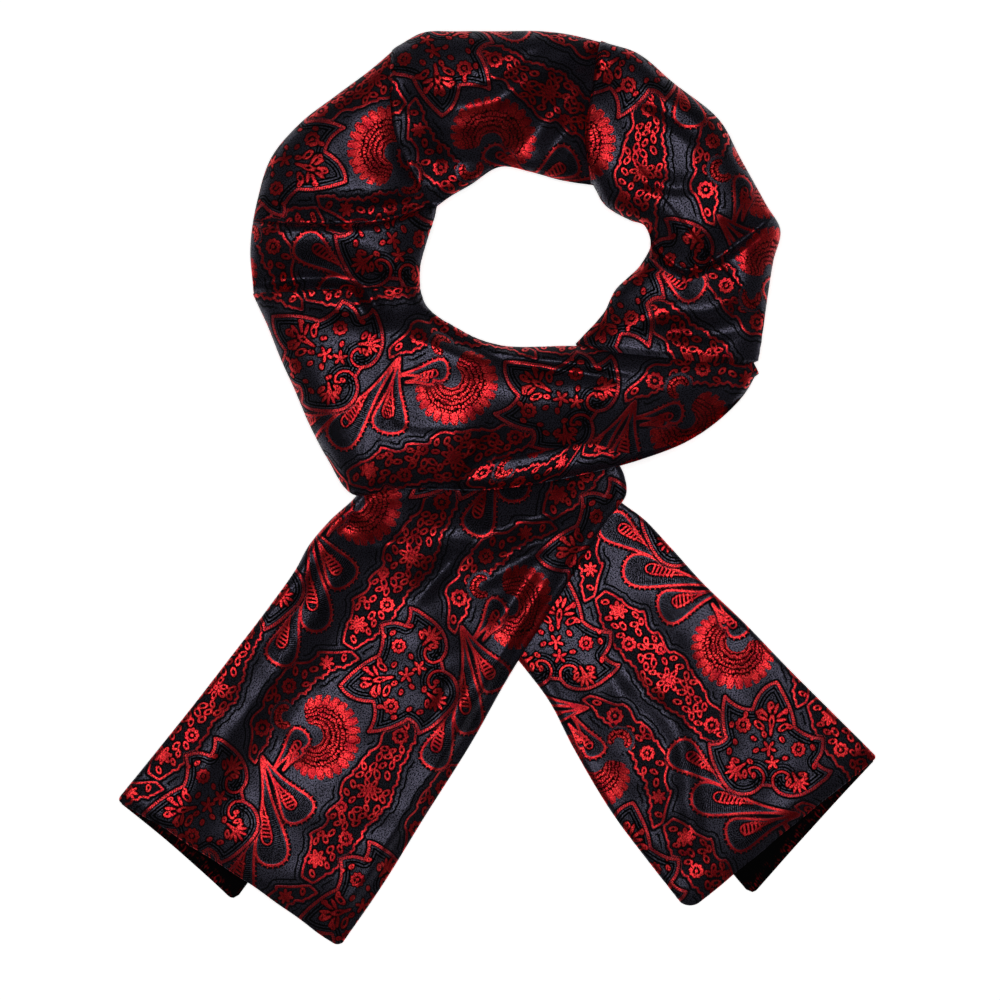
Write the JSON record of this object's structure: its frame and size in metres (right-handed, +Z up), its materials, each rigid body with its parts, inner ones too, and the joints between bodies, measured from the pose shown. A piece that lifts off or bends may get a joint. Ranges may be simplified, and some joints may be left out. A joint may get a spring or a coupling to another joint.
{
  "type": "silk scarf",
  "caption": "Paisley jacquard silk scarf folded lengthwise, looped into a neck ring and laid flat with its tails spread and the front band crossing over them.",
  "frame": {"origin": "middle of the laid scarf's bounding box, on the surface it lies on", "axes": "+Z up from the surface, +Y from the tails' ends towards the back of the neck ring, +X towards the right tail"},
  "size_m": [0.458, 0.5512, 0.0357],
  "materials": {
    "jacquard_silk": "satin jacquard, red motifs on charcoal",
    "silk_reverse": "reverse of the weave, nearly black with sparse red"
  },
  "bodies": {
    "root": {"loop_right": "jacquard_silk", "loop_top": "jacquard_silk", "loop_left": "jacquard_silk", "front_band": "jacquard_silk", "tail_left_front": "jacquard_silk", "tail_left_under": "silk_reverse", "tail_right_front": "jacquard_silk", "tail_right_under": "silk_reverse"}
  },
  "joints": []
}
